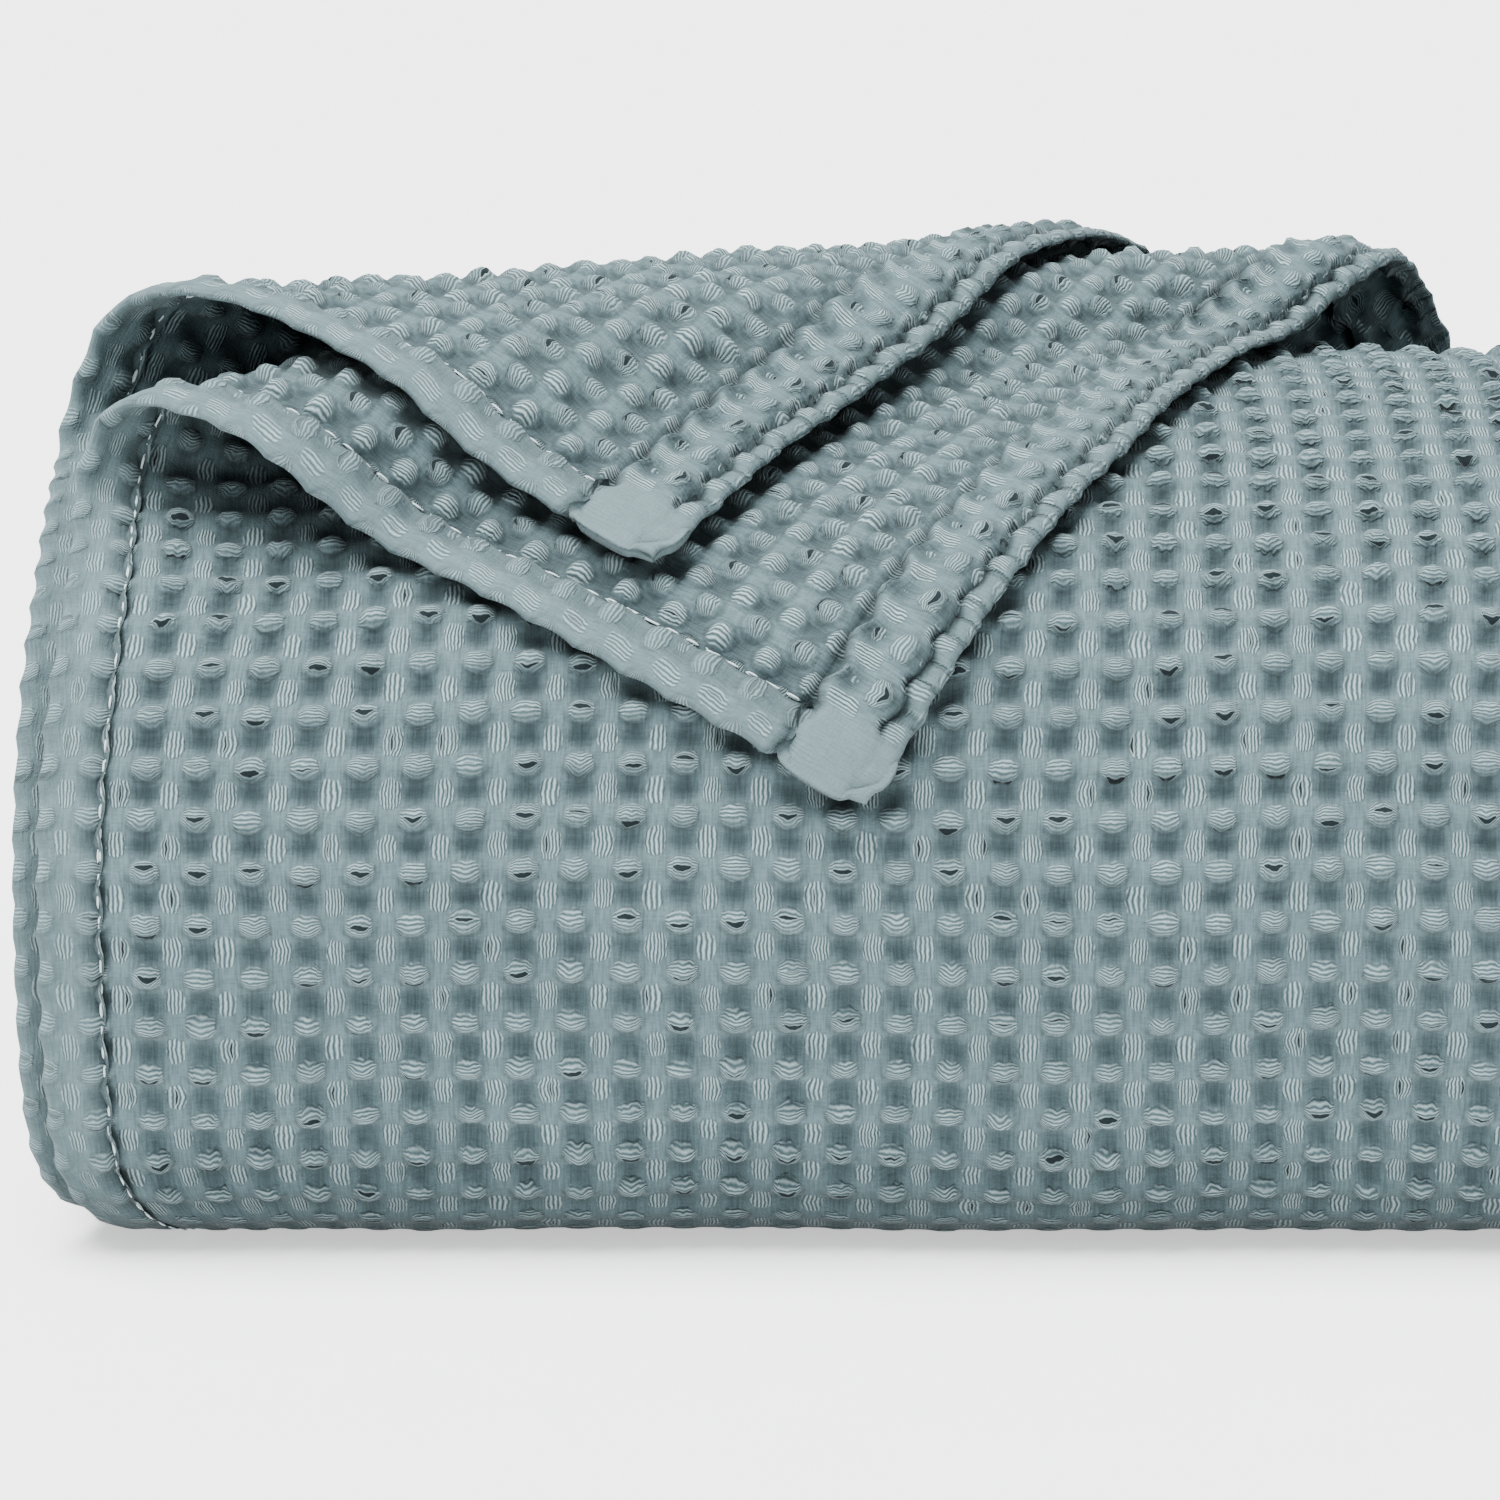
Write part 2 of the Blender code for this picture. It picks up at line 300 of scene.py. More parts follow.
def past_fold(fold, x, arc):
    """How far along its fold places lie, as a share, and how far past it."""
    from_x, from_arc = x - fold["start_x"], arc - fold["start_arc"]
    along = from_x * fold["line"][0] + from_arc * fold["line"][1]
    return along / fold["length"], from_x * fold["past"][0] + from_arc * fold["past"][1]


def lift_upon(fold, x, arc):
    """Heights above the roll at which a further layer lies on a turned-back corner."""
    share, distance = past_fold(fold, x, arc)
    slope_side = rows_at(fold["profiles"][:, 2 * LOOP_STEPS - 2:][:, ::-1], share)
    low, here, high = (look_up(distance + step, slope_side[..., 0], slope_side[..., 1])
                       for step in (-REACH, 0.0, REACH))
    slope = (high - low) / (2.0 * REACH)
    held_up = here * (1.0 - ease(distance, 0.0, TENT))
    return fold["mid_lift"] + held_up + LAYER_PITCH * np.hypot(1.0, slope)


def turn_back(fold, x, arc, under=None):
    """Folds cloth points: gives x, arc and height above the roll where they come to lie."""
    share, distance = past_fold(fold, x, arc)
    profile, lengths = rows_at(fold["profiles"], share), rows_at(fold["lengths"], share)
    reach = look_up(distance, lengths, profile[..., 0])
    height = look_up(distance, lengths, profile[..., 1])
    reach = np.where(distance <= lengths[:, 0], distance, reach)
    beyond = distance >= lengths[:, -1]
    reach = np.where(beyond, profile[:, -1, 0] - (distance - lengths[:, -1]), reach)
    lift = fold["mid_lift"] + height
    lain_x = x + fold["past"][0] * (reach - distance)
    lain_arc = arc + fold["past"][1] * (reach - distance)
    if under is not None:
        floor = lift_upon(under, lain_x, lain_arc)
        held = 0.5 * (lift + floor + np.hypot(lift - floor, LAYER))
        lift = np.where(distance > lengths[:, LOOP_STEPS], held, lift)
    return lain_x, lain_arc, lift


def sag(x, arc):
    """The roll's soft unevenness: small, slow rises and falls that all its layers share."""
    return (0.0008 * np.sin(x * 31.0 + 1.3) * np.sin(arc * 27.0 + x * 9.0)
            + 0.0006 * np.sin(x * 67.0 - arc * 41.0 + 0.7)
            + 0.0003 * np.sin(x * 133.0 + arc * 90.0))


def left_edge(name, arc):
    """Place of a free layer's left hem, with its lean."""
    low, high, _ = HEMS[name]
    return low + (high - low) * ease(arc, LEAN_START, LEAN_END)


def free_place(name, under, across, arc):
    """Where points of a free layer lie, given as shares across it and arc lengths."""
    right = HEMS[name][2]
    left = left_edge(name, arc)
    x, lain, lift = turn_back(CORNERS[name], left + (right - left) * across, arc, under)
    lift = lift + sag(x, lain) * ease(lain, 0.06, 0.12)
    section = lifted(lain, lift)
    return np.stack([x, section[:, 0] - DEPTH_MIDDLE, section[:, 1]], -1)


def normals(place, across, along):
    """Unit normals of a surface given as place(across, along), outwards on the lying cloth."""
    small = 0.0004
    side = place(across + small, along) - place(across - small, along)
    up = place(across, along + small) - place(across, along - small)
    normal = np.cross(side, up)
    return normal / np.maximum(np.linalg.norm(normal, axis=1, keepdims=True), 1e-12)


def random_at(column, row, kind):
    """A random share for each waffle cell."""
    return RANDOM[column.astype(int) % TILE, row.astype(int) % TILE, kind]


def dome(across, along):
    """A rounded bump of floats: one in its middle, zero outside it."""
    inside = 1.0 - np.hypot(across / BUMP_WIDE, along / BUMP_TALL) ** 2.4
    return np.clip(inside, 0.0, 1.0) ** 0.65


def relief(u, v):
    """Height of the weave at a place in cells: round bumps, pits between them, ridges along rows."""
    column, row = np.round(u), np.round(v)
    du, dv = u - column, v - row
    high = BUMP_HEIGHT * (0.80 + 0.40 * random_at(column, row, 0)) * dome(du, dv)
    low_row = np.round(v - 0.5)
    deep = PIT_DEPTH * (0.8 + 0.4 * random_at(column, low_row, 1)) * dome(du, v - 0.5 - low_row)
    from_patch = ((np.abs(du) - 0.5) / 0.22) ** 4 + ((np.abs(dv) - 0.5) / 0.27) ** 4
    patch = PATCH * np.clip(1.0 - from_patch, 0.0, 1.0)
    return high - deep + patch + RIDGE * np.cos(2.0 * math.pi * dv)


def reverse_relief(u, v):
    """Height of the weave on its reverse: a chequer of round bumps, pillows and hollows."""
    height = np.zeros_like(u)
    for kind, (shift_u, shift_v) in enumerate(((0.0, 0.5), (0.5, 0.0))):
        column, row = np.round(u + shift_u), np.round(v + shift_v)
        size = REVERSE_BUMP * (0.60 + 0.60 * random_at(column, row, kind + 2))
        inside = 1.0 - (np.hypot(u + shift_u - column, v + shift_v - row) / REVERSE_WIDE) ** 2.2
        height = height + size * np.clip(inside, 0.0, 1.0) ** 0.7
    return height + PILLOW * (np.cos(2.0 * math.pi * u) + np.cos(2.0 * math.pi * v))


def cell_lines(low, high):
    """Grid lines between two places in cells, close together where the relief is steep."""
    lines = [low, high]
    for cell in range(math.floor(low) - 1, math.ceil(high) + 2):
        lines.extend(cell + line for line in LINES_IN_CELL if low + 0.04 < cell + line < high - 0.04)
    return sorted(lines)


def crossed(columns, rows):
    """Shape of a grid of lines, and the places where they cross."""
    u, v = np.meshgrid(np.array(columns), np.array(rows))
    return u.shape, u.ravel(), v.ravel()


def turned(beyond, radius):
    """Cloth that turns under at an edge: its distance inside the edge, its drop and its tilt."""
    angle = np.clip(beyond / radius, 0.0, math.pi)
    inside = np.maximum(beyond - radius * math.pi, 0.0) - radius * np.sin(angle)
    return np.where(beyond > 0.0, inside, -beyond), radius * (1.0 - np.cos(angle)), angle


def as_grid(shape, points, u, v, behind, marks):
    """Flat lists of a grid's values, put back into its rows and columns."""
    cells = np.stack([u, v], -1)
    return (points.reshape(shape + (3,)), cells.reshape(shape + (2,)), behind.reshape(shape),
            {kind: mark.reshape(shape) for kind, mark in marks.items()})


def cloth_object(name, grids, material, reverse=None):
    """A mesh of grids, each given as (points, cells, share of the reverse side, hem marks)."""
    corners, loops, uvs, slots, shares = [], [], [], [], {kind: [] for kind in MARKS}
    start = 0
    for points, cells, behind, marks in grids:
        rows, columns = points.shape[:2]
        index = np.arange(rows * columns).reshape(rows, columns) + start
        faces = np.stack([index[:-1, :-1], index[:-1, 1:], index[1:, 1:], index[1:, :-1]], -1)
        corners.append(settled(points.reshape(-1, 3)))
        loops.append(faces.reshape(-1, 4))
        flat = cells.reshape(-1, 2)
        uvs.append(flat[faces.reshape(-1) - start])
        slots.append((behind[:-1, :-1] > 0.5).reshape(-1))
        for kind, values in shares.items():
            values.append(marks.get(kind, np.zeros(rows * columns)).reshape(-1))
        start += rows * columns
    corners, loops = np.concatenate(corners), np.concatenate(loops)
    mesh = bpy.data.meshes.new(name)
    mesh.vertices.add(len(corners))
    mesh.vertices.foreach_set("co", corners.ravel())
    mesh.loops.add(loops.size)
    mesh.loops.foreach_set("vertex_index", loops.ravel())
    mesh.polygons.add(len(loops))
    mesh.polygons.foreach_set("loop_start", np.arange(0, loops.size, 4))
    mesh.polygons.foreach_set("loop_total", np.full(len(loops), 4))
    mesh.update(calc_edges=True)
    mesh.materials.append(material)
    if reverse is not None:
        mesh.materials.append(reverse)
        mesh.polygons.foreach_set("material_index", np.concatenate(slots).astype(np.int32))
    layer = mesh.uv_layers.new(name="cloth")
    layer.data.foreach_set("uv", np.concatenate(uvs).ravel())
    for kind, values in shares.items():
        mesh.attributes.new(kind, "FLOAT", "POINT").data.foreach_set(
            "value", np.concatenate(values).astype(np.float32))
    mesh.validate()
    mesh.shade_smooth()
    return added(name, mesh)


def settled(points):
    """The cloth's own weight: a tight curve at the foot of the front, and rounded lower corners."""
    x, y, z = points.T
    forward = FOOT_FORWARD * np.exp(-z / FOOT_HEIGHT) * (1.0 - ease(y + DEPTH_MIDDLE, 0.050, 0.110))
    ends = ease(-x, 0.130, 0.210) - 0.6 * ease(x, 0.130, 0.210)
    return np.stack([x + END_ROUND * np.exp(-z / END_ROUND_HEIGHT) * ends, y - forward, z], -1)


def bell(value, middle, width):
    """One at the middle, falling off to both sides."""
    return np.exp(-((value - middle) / width) ** 2)


def right_fold(name):
    """Radius of the fold that joins a layer to its partner at the right end."""
    return (1.5 if name == "outer_layer" else 0.5) * LAYER_PITCH


def beads(u):
    """Uneven places along the corded edge, in beads: whole numbers lie in a bead's middle."""
    return u * CELL / EDGE_BEAD + sum(
        share * np.sin(waves * u + start) for waves, start, share in BEAD_WAVES)


def hem_profile(inside_left, inside_end, u):
    """What hems do: how much relief stays, how far they stand up, and their marks in the cloth.

    inside_left and inside_end are distances from the side hem's and the end hem's edges.
    """
    in_side = ease(SIDE_HEM - inside_left, 0.0, 0.002)
    in_end = ease(END_HEM - inside_end, 0.0, 0.0015)
    lobes = np.abs(np.cos(math.pi * u))
    roll_edge = EDGE_ROLL - 0.0010 + 0.0018 * (1.0 - lobes)
    band = in_end * ease(inside_end, roll_edge, roll_edge + 0.0014)
    cord = in_end - band
    keep = (1.0 - 0.45 * in_side) * (1.0 - 0.40 * band) * (1.0 - 0.75 * cord)
    side_seam = bell(inside_left, SIDE_HEM, 0.0010) * (1.0 - in_end)
    end_seam = bell(inside_end, END_HEM, 0.0013)
    keep = keep * (1.0 - 0.6 * np.maximum(side_seam, end_seam)) * ease(inside_left, -0.001, 0.0035)
    across_roll = np.clip(1.0 - ((inside_end - 0.45 * EDGE_ROLL) / (0.60 * EDGE_ROLL)) ** 2, 0.0, 1.0)
    crease = bell((beads(u) % 1.0) - 0.5, 0.0, 0.13)
    stand = 0.0009 * np.sqrt(across_roll) * (1.0 - 0.80 * crease)
    puff = np.clip(1.0 - ((inside_end - 0.0100) / 0.0085) ** 2, 0.0, 1.0)
    stand = stand + band * (0.0005 + 0.0009 * puff + 0.0011 * lobes * ease(0.0095 - inside_end, 0.0, 0.005))
    stand = stand - 0.0010 * bell(inside_end, roll_edge + 0.0002, 0.0007)
    stand = stand + 0.0007 * bell(inside_end, END_HEM - 0.0024, 0.0015) - 0.0016 * end_seam
    stand = stand + 0.0006 * in_side * (1.0 - in_end) * (0.7 + 0.5 * np.sin(2.6 * u + 900.0 * inside_left))
    stand = stand - 0.0009 * side_seam
    corner = ease(SIDE_HEM + 0.004 - inside_left, 0.0, 0.004) * in_end
    pillow = np.clip(1.0 - ((inside_left - 0.0065) / 0.0090) ** 2 - ((inside_end - 0.0095) / 0.0115) ** 2,
                     0.0, 1.0)
    keep = keep * (1.0 - 0.85 * corner)
    stand = stand * (1.0 - 0.85 * corner) + 0.0018 * corner * np.sqrt(pillow)
    edge = np.maximum(bell(inside_left, 0.0, 0.0012), bell(inside_end, 0.0, 0.0012))
    pressed = np.maximum(0.80 * corner, 0.30 * np.maximum(np.maximum(edge, cord), 1.1 * in_side))
    # the grooves at the seams and the corded edge, where the material paints shade
    groove = np.maximum(0.9 * end_seam, 0.4 * side_seam)
    groove = np.maximum(groove, 0.8 * bell(inside_end, roll_edge, 0.0007))
    return keep, stand, {"pressed": pressed, "corded": cord * (1.0 - corner),
                         "seam": groove * (1.0 - 0.9 * corner)}


def free_layer(name, fine_from, fine_until, under=None):
    """One free outer layer with its turned-back corner, hems and the weave's relief."""
    fold = CORNERS[name]
    _, high, right = HEMS[name]
    fold_radius = right_fold(name)
    width = right - high - fold_radius
    width_cells = width / CELL
    first_row = CLOTH_START / CELL + ROW_PHASE
    end_row = fold["end"] / CELL + ROW_PHASE
    columns = cell_lines(EDGE_CELL, fine_until)
    columns += list(np.arange(fine_until + 0.5, width_cells + EDGE_CELL, 0.5))
    columns += [width_cells + EDGE_CELL]
    side_turn = math.pi * HEM_RADIUS
    before = [share * side_turn for share in TURN_SHARES]
    before += [side_turn + step for step in SIDE_STEPS]
    before = [EDGE_CELL - step / CELL for step in reversed(before)]
    after = [width_cells + EDGE_CELL + fold_radius * angle / CELL
             for angle in np.linspace(0.0, math.pi, 9)[1:]]
    rows = list(np.linspace(first_row, fine_from, max(int((fine_from - first_row) / 0.33), 2))[:-1])
    rows += cell_lines(fine_from, end_row)
    rows += [end_row + share * side_turn / CELL for share in TURN_SHARES]
    rows += [end_row + (side_turn + step) / CELL for step in END_STEPS]
    shape, u, v = crossed(before + columns + after, rows)
    wobble_u = u + 0.05 * np.sin(v * 0.7 + 1.0) * np.sin(u * 0.5)
    wobble_v = v + 0.06 * np.sin(u * 0.45 + 0.5 * np.sin(v * 0.3))
    left_beyond = (EDGE_CELL - u) * CELL
    right_beyond = (u - EDGE_CELL) * CELL - width
    end_beyond = (v - end_row) * CELL
    inside_left, left_drop, left_tilt = turned(left_beyond, HEM_RADIUS)
    inside_right, right_drop, right_tilt = turned(right_beyond, fold_radius)
    inside_end, end_drop, end_tilt = turned(end_beyond, HEM_RADIUS)
    keep, stand, marks = hem_profile(inside_left, inside_end, u)
    height = keep * relief(wobble_u, wobble_v) + stand
    scallop = SCALLOP * np.abs(np.cos(math.pi * (v - 0.25)))
    tip = ease(SIDE_HEM + 0.004 - inside_left, 0.0, 0.004) * ease(END_HEM - inside_end, 0.0, 0.003)
    scallop = scallop * (1.0 - tip)
    round_tip = 0.0011 * bell(inside_left, 0.0, 0.0032) * bell(inside_end, 0.0, 0.0032)
    from_left = inside_left - height * np.sin(left_tilt) + round_tip
    from_left = from_left + scallop * ease(left_beyond, -0.006, 0.0)
    from_right = width - inside_right + height * np.sin(right_tilt)
    along = np.where(right_beyond > -0.5 * width, from_right, from_left)
    across = along / (right - high)
    scallop = 0.5 * SCALLOP * np.abs(np.cos(math.pi * beads(u))) * (1.0 - tip) + round_tip
    arc = fold["end"] - inside_end + height * np.sin(end_tilt) - scallop * ease(end_beyond, -0.004, 0.0)
    arc = arc + 0.0010 * np.sin(2.0 * math.pi * u + 0.6 * np.sin(u)) * ease(inside_end, 0.007, END_HEM) * (
        end_beyond > 0.0)

    place = partial(free_place, name, under)
    share, distance = past_fold(fold, left_edge(name, arc) + along, arc)
    lengths = rows_at(fold["lengths"], share)
    crest, landed = lengths[:, LOOP_STEPS], lengths[:, 2 * LOOP_STEPS - 2]
    behind = ease((distance - crest) / (landed - crest), 0.0, 0.7)
    under_turn = np.maximum(left_tilt, end_tilt) > 0.5 * math.pi
    back = keep * reverse_relief(wobble_u, wobble_v) + stand
    height = np.where(under_turn, height, (1.0 - behind) * height - behind * back)
    spots = place(across, arc)
    height = height * (0.12 + 0.88 * ease(spots[:, 2], 0.002, 0.018))
    side = np.cos(left_tilt) * np.cos(right_tilt) * np.cos(end_tilt)
    sewn_left = 1.0 - ease(inside_left, SIDE_HEM - 0.0024, SIDE_HEM) * (left_beyond > 0.0)
    sewn_end = 1.0 - ease(inside_end, END_HEM - 0.0026, END_HEM) * (end_beyond > 0.0)
    drop = left_drop * sewn_left + right_drop + end_drop * sewn_end
    points = spots + normals(place, across, arc) * (height * side - drop)[:, None]
    points[:, 2] = np.maximum(points[:, 2], FLOOR_GAP)
    behind = np.where(under_turn, 0.0, behind)
    return [as_grid(shape, points, wobble_u, wobble_v, behind, marks)]


def roll_ends(winding):
    """The roll's left and right ends at windings: the turns slide a little along the roll."""
    left = LEFT_END + END_STAGGER * np.sin(LEFT_WAVE * winding)
    right = RIGHT_END - END_STAGGER * (0.5 + 0.5 * np.sin(RIGHT_WAVE * winding))
    return left, right


def pack_place(winding, depth, x):
    """A point in the pack."""
    free = winding >= 0.0
    section = np.where(free[:, None], lifted(winding * PERIMETER, -depth), on_turn(winding, depth))
    return np.stack([x, section[:, 0] - DEPTH_MIDDLE, np.maximum(section[:, 1], FLOOR_GAP)], -1)


def pack_path(free):
    """Columns of the folded pack from its first hem to its last, as (from end, side, depth, cell).

    side is 0 for places measured from the left end and 1 for those measured from the right end.
    """
    band = (0.0, 0.0016, 0.0034, 0.0053, 0.0075, 0.0100, 0.0150, 0.0250)
    depths = [0.5 * LAYER + layer * LAYER_PITCH for layer in range(LAYERS_IN_PACK)]
    first, second, third, fourth = depths
    outer_fold, inner_fold = 1.5 * LAYER_PITCH, 0.5 * LAYER_PITCH

    def leftwards(depth, inset_left, inset_right):
        path = [(inset_right + step, 1, depth) for step in band]
        return path + [(inset_left + step, 0, depth) for step in reversed(band)]

    def fold(depth_from, depth_to, side, inset):
        middle, radius = 0.5 * (depth_from + depth_to), 0.5 * (depth_to - depth_from)
        count = 9 if abs(radius) > LAYER_PITCH else 6
        return [(inset - abs(radius) * math.sin(angle), side, middle - radius * math.cos(angle))
                for angle in np.linspace(0.0, math.pi, count)[1:-1]]

    def hem(depth):
        drop = 1.4 * HEM_RADIUS
        return [(0.0060, 0, depth + 2 * drop), (0.0015, 0, depth + 2 * drop),
                (0.0003, 0, depth + 1.7 * drop), (0.0, 0, depth + drop), (0.0003, 0, depth + 0.3 * drop)]

    right_outer, right_inner = outer_fold, outer_fold + 0.0030
    joined = leftwards(fourth, inner_fold, right_outer)
    joined += fold(fourth, third, 0, inner_fold)
    joined += list(reversed(leftwards(third, inner_fold, right_inner)))
    if free:
        return joined
    whole = hem(first) + list(reversed(leftwards(first, 0.0010, right_outer)))
    whole += fold(first, fourth, 1, right_outer) + joined + fold(third, second, 1, right_inner)
    whole += leftwards(second, 0.0010, right_inner)
    return whole + list(reversed(hem(second)))


def pack_grid(start, end, free):
    """A stretch of the wound pack between two windings."""
    path = np.array(pack_path(free))
    count = max(int((end - start) * PERIMETER / TURN_STEP), 2)
    windings = np.linspace(start, end, count)
    winding = np.repeat(windings, len(path))
    inset, side, depth = (np.tile(column, count) for column in path.T)
    left, right = roll_ends(winding)
    scallop = 0.0005 * np.sin(winding * PERIMETER / CELL * 2.0 * math.pi)
    scallop += 0.0003 * np.sin(winding * PERIMETER / CELL * 4.3 + depth * 900.0)
    inset = inset + scallop * (inset < 0.012)
    x = np.where(side > 0.5, right - inset, left + inset)
    sway = 0.0005 * np.sin(winding * PERIMETER * 260.0 + depth * 1700.0) + 0.0004 * np.sin(winding * 93.0)
    points = pack_place(winding, depth + sway, x)
    shape = (count, len(path))
    cells = (x - LEFT_END) / CELL, winding * PERIMETER / CELL + ROW_PHASE
    return as_grid(shape, points, *cells, np.zeros(shape), {})


def back_skin():
    """The outermost layer of the roll from under the end hems, down the back, to the underside."""
    fold_radius = right_fold("outer_layer")
    width = RIGHT_END - 0.5 * END_STAGGER - LEFT_END - fold_radius
    columns = [EDGE_CELL - math.pi * HEM_RADIUS * step / CELL for step in (3.0, 1.0, 0.75, 0.5, 0.25)]
    columns += cell_lines(EDGE_CELL, EDGE_CELL + width / CELL)
    turn = [EDGE_CELL + (width + fold_radius * angle) / CELL for angle in np.linspace(0.0, math.pi, 9)[1:]]
    first, last = (winding * PERIMETER / CELL + ROW_PHASE for winding in (-BACK, -SEAM))
    rows = cell_lines(first, last)
    shape, u, v = crossed(columns + turn, rows)
    left_beyond = (EDGE_CELL - u) * CELL
    right_beyond = (u - EDGE_CELL) * CELL - width
    inside_left, left_drop, left_tilt = turned(left_beyond, HEM_RADIUS)
    inside_right, right_drop, right_tilt = turned(right_beyond, fold_radius)
    keep, stand, marks = hem_profile(inside_left, np.full_like(u, 1.0), u)
    height = keep * relief(u, v) + stand
    winding = (v - ROW_PHASE) * CELL / PERIMETER
    left, right = roll_ends(winding)
    from_left = left + inside_left - height * np.sin(left_tilt)
    from_left = from_left + 0.0004 * np.cos(2.0 * math.pi * v) * ease(left_beyond, -0.004, 0.0)
    from_right = right - fold_radius - inside_right + height * np.sin(right_tilt)
    share = ease(right_beyond, -0.5 * width, -0.4 * width)
    x = from_left * (1.0 - share) + from_right * share

    side = np.cos(left_tilt) * np.cos(right_tilt)
    small = 0.0006
    depth = np.full_like(x, 0.5 * LAYER)
    up = pack_place(winding + small, depth, x) - pack_place(winding - small, depth, x)
    normal = np.cross(np.array([1.0, 0.0, 0.0]), up)
    normal /= np.linalg.norm(normal, axis=1, keepdims=True)
    points = pack_place(winding, depth, x) + normal * (height * side - left_drop - right_drop)[:, None]
    points[:, 2] = np.maximum(points[:, 2], FLOOR_GAP)
    return [as_grid(shape, points, u, v, np.zeros(shape), marks)]


def bare_top():
    """The relief of the layers below, on the roll's back where the turned-back corners leave them bare."""
    fold_end = CORNERS["outer_layer"]["end"]
    depth = 2.0 * LAYER_PITCH + 0.5 * LAYER - 0.0006
    left, right = LEFT_END + 0.5 * LAYER_PITCH, BARE_RIGHT
    columns = cell_lines(EDGE_CELL, EDGE_CELL + (right - left) / CELL)
    rows = cell_lines(BARE_START / CELL + ROW_PHASE, fold_end / CELL + ROW_PHASE)
    rows += [fold_end / CELL + ROW_PHASE + step * HEM_RADIUS / CELL for step in (0.5, 1.0, 1.57, 2.4, 3.14)]
    shape, u, v = crossed(columns, rows)
    inside_end, drop, tilt = turned((v - ROW_PHASE) * CELL - fold_end, HEM_RADIUS)
    keep, stand, marks = hem_profile(np.full_like(u, 1.0), inside_end, u)
    x = left + (u - EDGE_CELL) * CELL
    hidden = ease(x, right - 0.012, right)
    height = (keep * relief(u, v) + stand) * (1.0 - hidden)
    height = height * ease((u - EDGE_CELL) * CELL, -0.001, 0.004)
    arc = fold_end - inside_end + height * np.sin(tilt)
    section = lifted(arc, height * np.cos(tilt) - drop - depth - 0.0018 * hidden)
    points = np.stack([x, section[:, 0] - DEPTH_MIDDLE, section[:, 1]], -1)
    return [as_grid(shape, points, u, v, np.zeros(shape), marks)]


def stitch(middle, normal):
    """Corners of one stitch: rings of a thin thread around the points of its middle line."""
    along = np.gradient(middle, axis=0)
    along /= np.linalg.norm(along, axis=1, keepdims=True)
    across = np.cross(along, normal)[:, None, :]
    angle = (2.0 * math.pi * np.arange(RING) / RING)[:, None]
    around = np.cos(angle) * across + 0.7 * np.sin(angle) * normal[:, None, :]
    size = THREAD * np.array(STITCH_SIZES)[:, None, None]
    return (middle[:, None, :] + size * around).reshape(-1, 3)


def stitch_faces(base):
    """Faces of one stitch whose first corner is number base."""
    last = base + (len(STITCH_SIZES) - 1) * RING
    faces = []
    for ring in range(base, last, RING):
        for corner in range(RING):
            one, two = ring + corner, ring + (corner + 1) % RING
            faces.append((one, two, two + RING, one + RING))
    return faces + [tuple(reversed(range(base, base + RING))), tuple(range(last, last + RING))]


def stitches(name, under, material):
    """Stitches along a free layer's side hem, on both faces of the cloth, and along its end hem."""
    fold = CORNERS[name]
    _, high, right = HEMS[name]
    generator = np.random.default_rng(SEED + 1)
    place = partial(free_place, name, under)
    fold_end = fold["start_x"] + fold["length"] * fold["line"][0]
    side = [(SIDE_HEM, arc) for arc in np.arange(0.050, fold["end"] - 0.004, STITCH_STEP)]
    end = [(x, fold["end"] - END_HEM)
           for x in np.arange(fold_end - high + 0.004, right - high - 0.006, STITCH_STEP)]
    bends = np.linspace(-1.0, 1.0, len(STITCH_SIZES))
    heights = STITCH_HEIGHT * (1.0 - bends ** 4) - STITCH_SINK
    corners, faces = [], []
    for spots, upwards, facing in ((side, True, 1.0), (side, True, -1.0), (end, False, 1.0)):
        for x, arc in spots:
            steps = 0.5 * bends * STITCH * generator.uniform(0.85, 1.1)
            sideways = np.full_like(steps, generator.normal(0.0, 0.00012))
            across, up = (sideways, steps) if upwards else (steps, sideways)
            share, arcs = (x + across) / (right - high), arc + up
            normal = normals(place, share, arcs)
            faces += stitch_faces(len(corners) * len(STITCH_SIZES) * RING)
            corners.append(stitch(place(share, arcs) + facing * heights[:, None] * normal, normal))
    mesh = bpy.data.meshes.new(name + "_stitches")
    mesh.from_pydata(settled(np.concatenate(corners)).tolist(), [], faces)
    mesh.materials.append(material)
    mesh.shade_smooth()
    return added(name + "_stitches", mesh)


